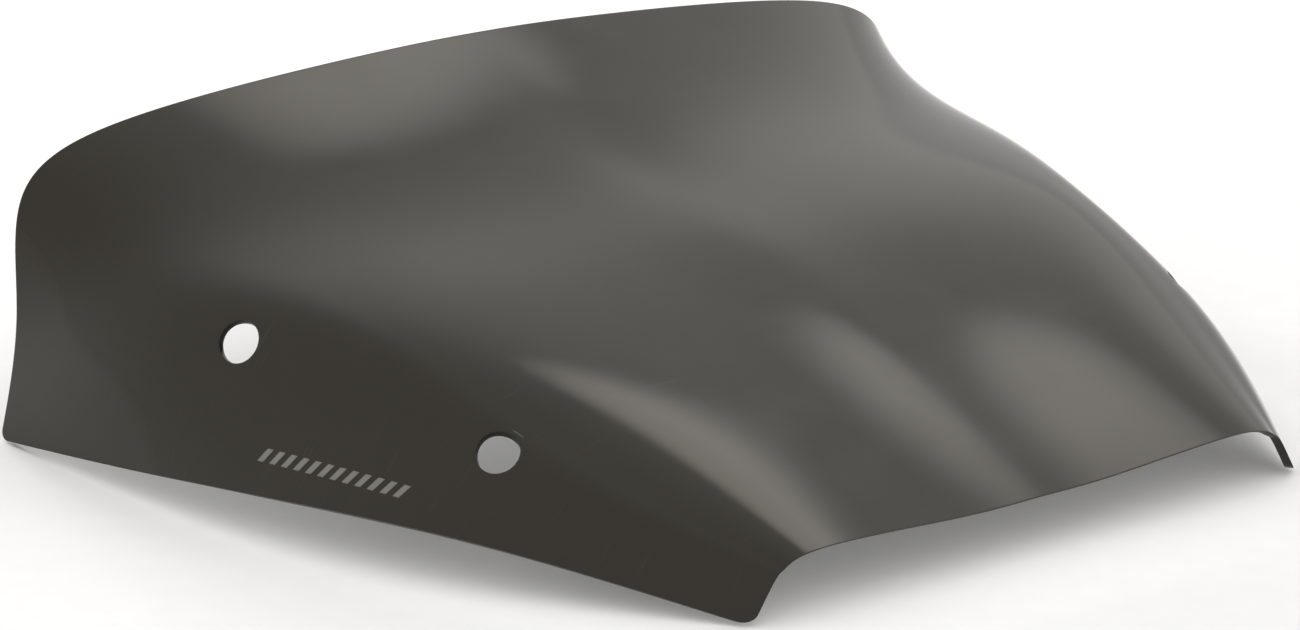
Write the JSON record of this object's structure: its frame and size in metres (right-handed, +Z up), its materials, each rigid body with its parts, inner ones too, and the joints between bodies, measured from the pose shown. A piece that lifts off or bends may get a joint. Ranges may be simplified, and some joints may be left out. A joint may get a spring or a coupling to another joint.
{
  "type": "windshield screen",
  "caption": "Thermoformed dark smoke motorcycle windshield screen with a wide flat face, downturned side wings, a kicked-up rear lip and round mounting holes in the wings.",
  "frame": {"origin": "under the middle of the screen, on the surface that its wing corners stand on", "axes": "+X across the screen to its right, +Y from the front edge to the rear lip, +Z up"},
  "size_m": [0.3638, 0.2514, 0.0998],
  "materials": {
    "smoked_acrylic": "polished dark smoke acrylic",
    "mark_ink": "thin light grey screen-printed ink"
  },
  "bodies": {
    "root": {"acrylic_screen": "smoked_acrylic", "printed_mark": "mark_ink"}
  },
  "joints": []
}
